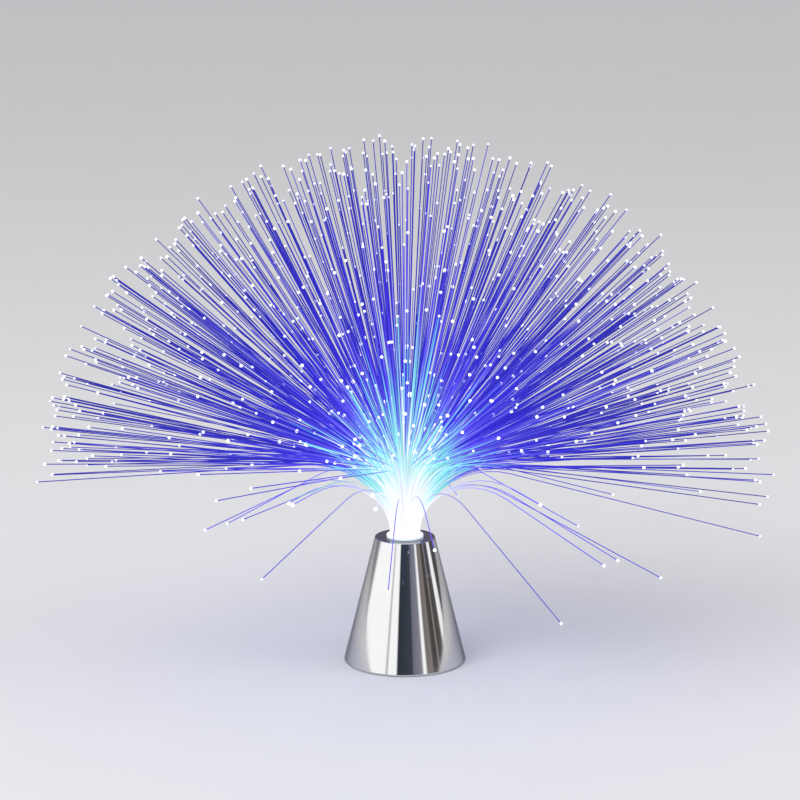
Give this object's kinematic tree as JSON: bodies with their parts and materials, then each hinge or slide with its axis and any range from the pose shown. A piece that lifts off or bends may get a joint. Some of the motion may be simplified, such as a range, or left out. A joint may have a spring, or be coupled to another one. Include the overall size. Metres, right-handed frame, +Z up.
{
  "type": "fiber optic lamp",
  "caption": "Battery table lamp: a chrome cone holding three cells and three lights under a dome-shaped spray of thin optical fibres.",
  "frame": {"origin": "middle of the cone's lower rim, on the surface that the lamp stands on", "axes": "+Z up along the cone's axis; the front faces -Y, the switch is at the back (+Y) and the battery door's hinge runs along Y on the -X side"},
  "size_m": [0.4525, 0.4238, 0.3307],
  "materials": {
    "chrome_plate": "polished",
    "black_plastic": "satin",
    "steel": "satin",
    "cell_can": "gloss",
    "spring_steel": "gloss",
    "knob_plastic": "satin",
    "tin": "satin",
    "board": "satin",
    "chip_black": "matte",
    "led_red": "gloss",
    "led_green": "gloss",
    "led_blue": "gloss",
    "white_plastic": "satin",
    "sleeve_white": "satin",
    "wire_red": "satin",
    "wire_black": "satin",
    "fibre": "gloss"
  },
  "bodies": {
    "base": {"base_shell": "chrome_plate", "bottom_plate": "black_plastic", "plate_screws": "steel", "battery_cells": "cell_can", "negative_contact": "spring_steel", "positive_contact": "spring_steel", "link_contacts": "spring_steel", "switch_body": "steel", "switch_terminals": "tin", "switch_screws": "steel", "circuit_board": "board", "board_screws": "steel", "control_chip": "chip_black", "resistors": "chip_black", "led_red": "led_red", "led_green": "led_green", "led_blue": "led_blue", "led_leads": "tin", "light_cup": "white_plastic", "bundle_sleeve": "sleeve_white", "red_wires": "wire_red", "black_wires": "wire_black", "fibre_spray": "fibre"},
    "door": {"battery_door": "black_plastic", "door_screw": "steel"},
    "slider": {"switch_slider": "knob_plastic"}
  },
  "joints": [
    {"name": "door_hinge", "type": "hinge", "parent": "base", "child": "door", "pos_m": [-0.0292, 0, 0.0036], "axis": [0, 1, 0], "range_deg": [0, 75]},
    {"name": "switch_slide", "type": "slide", "parent": "base", "child": "slider", "axis": [-1, 0, 0], "range_m": [0, 0.0025]}
  ]
}
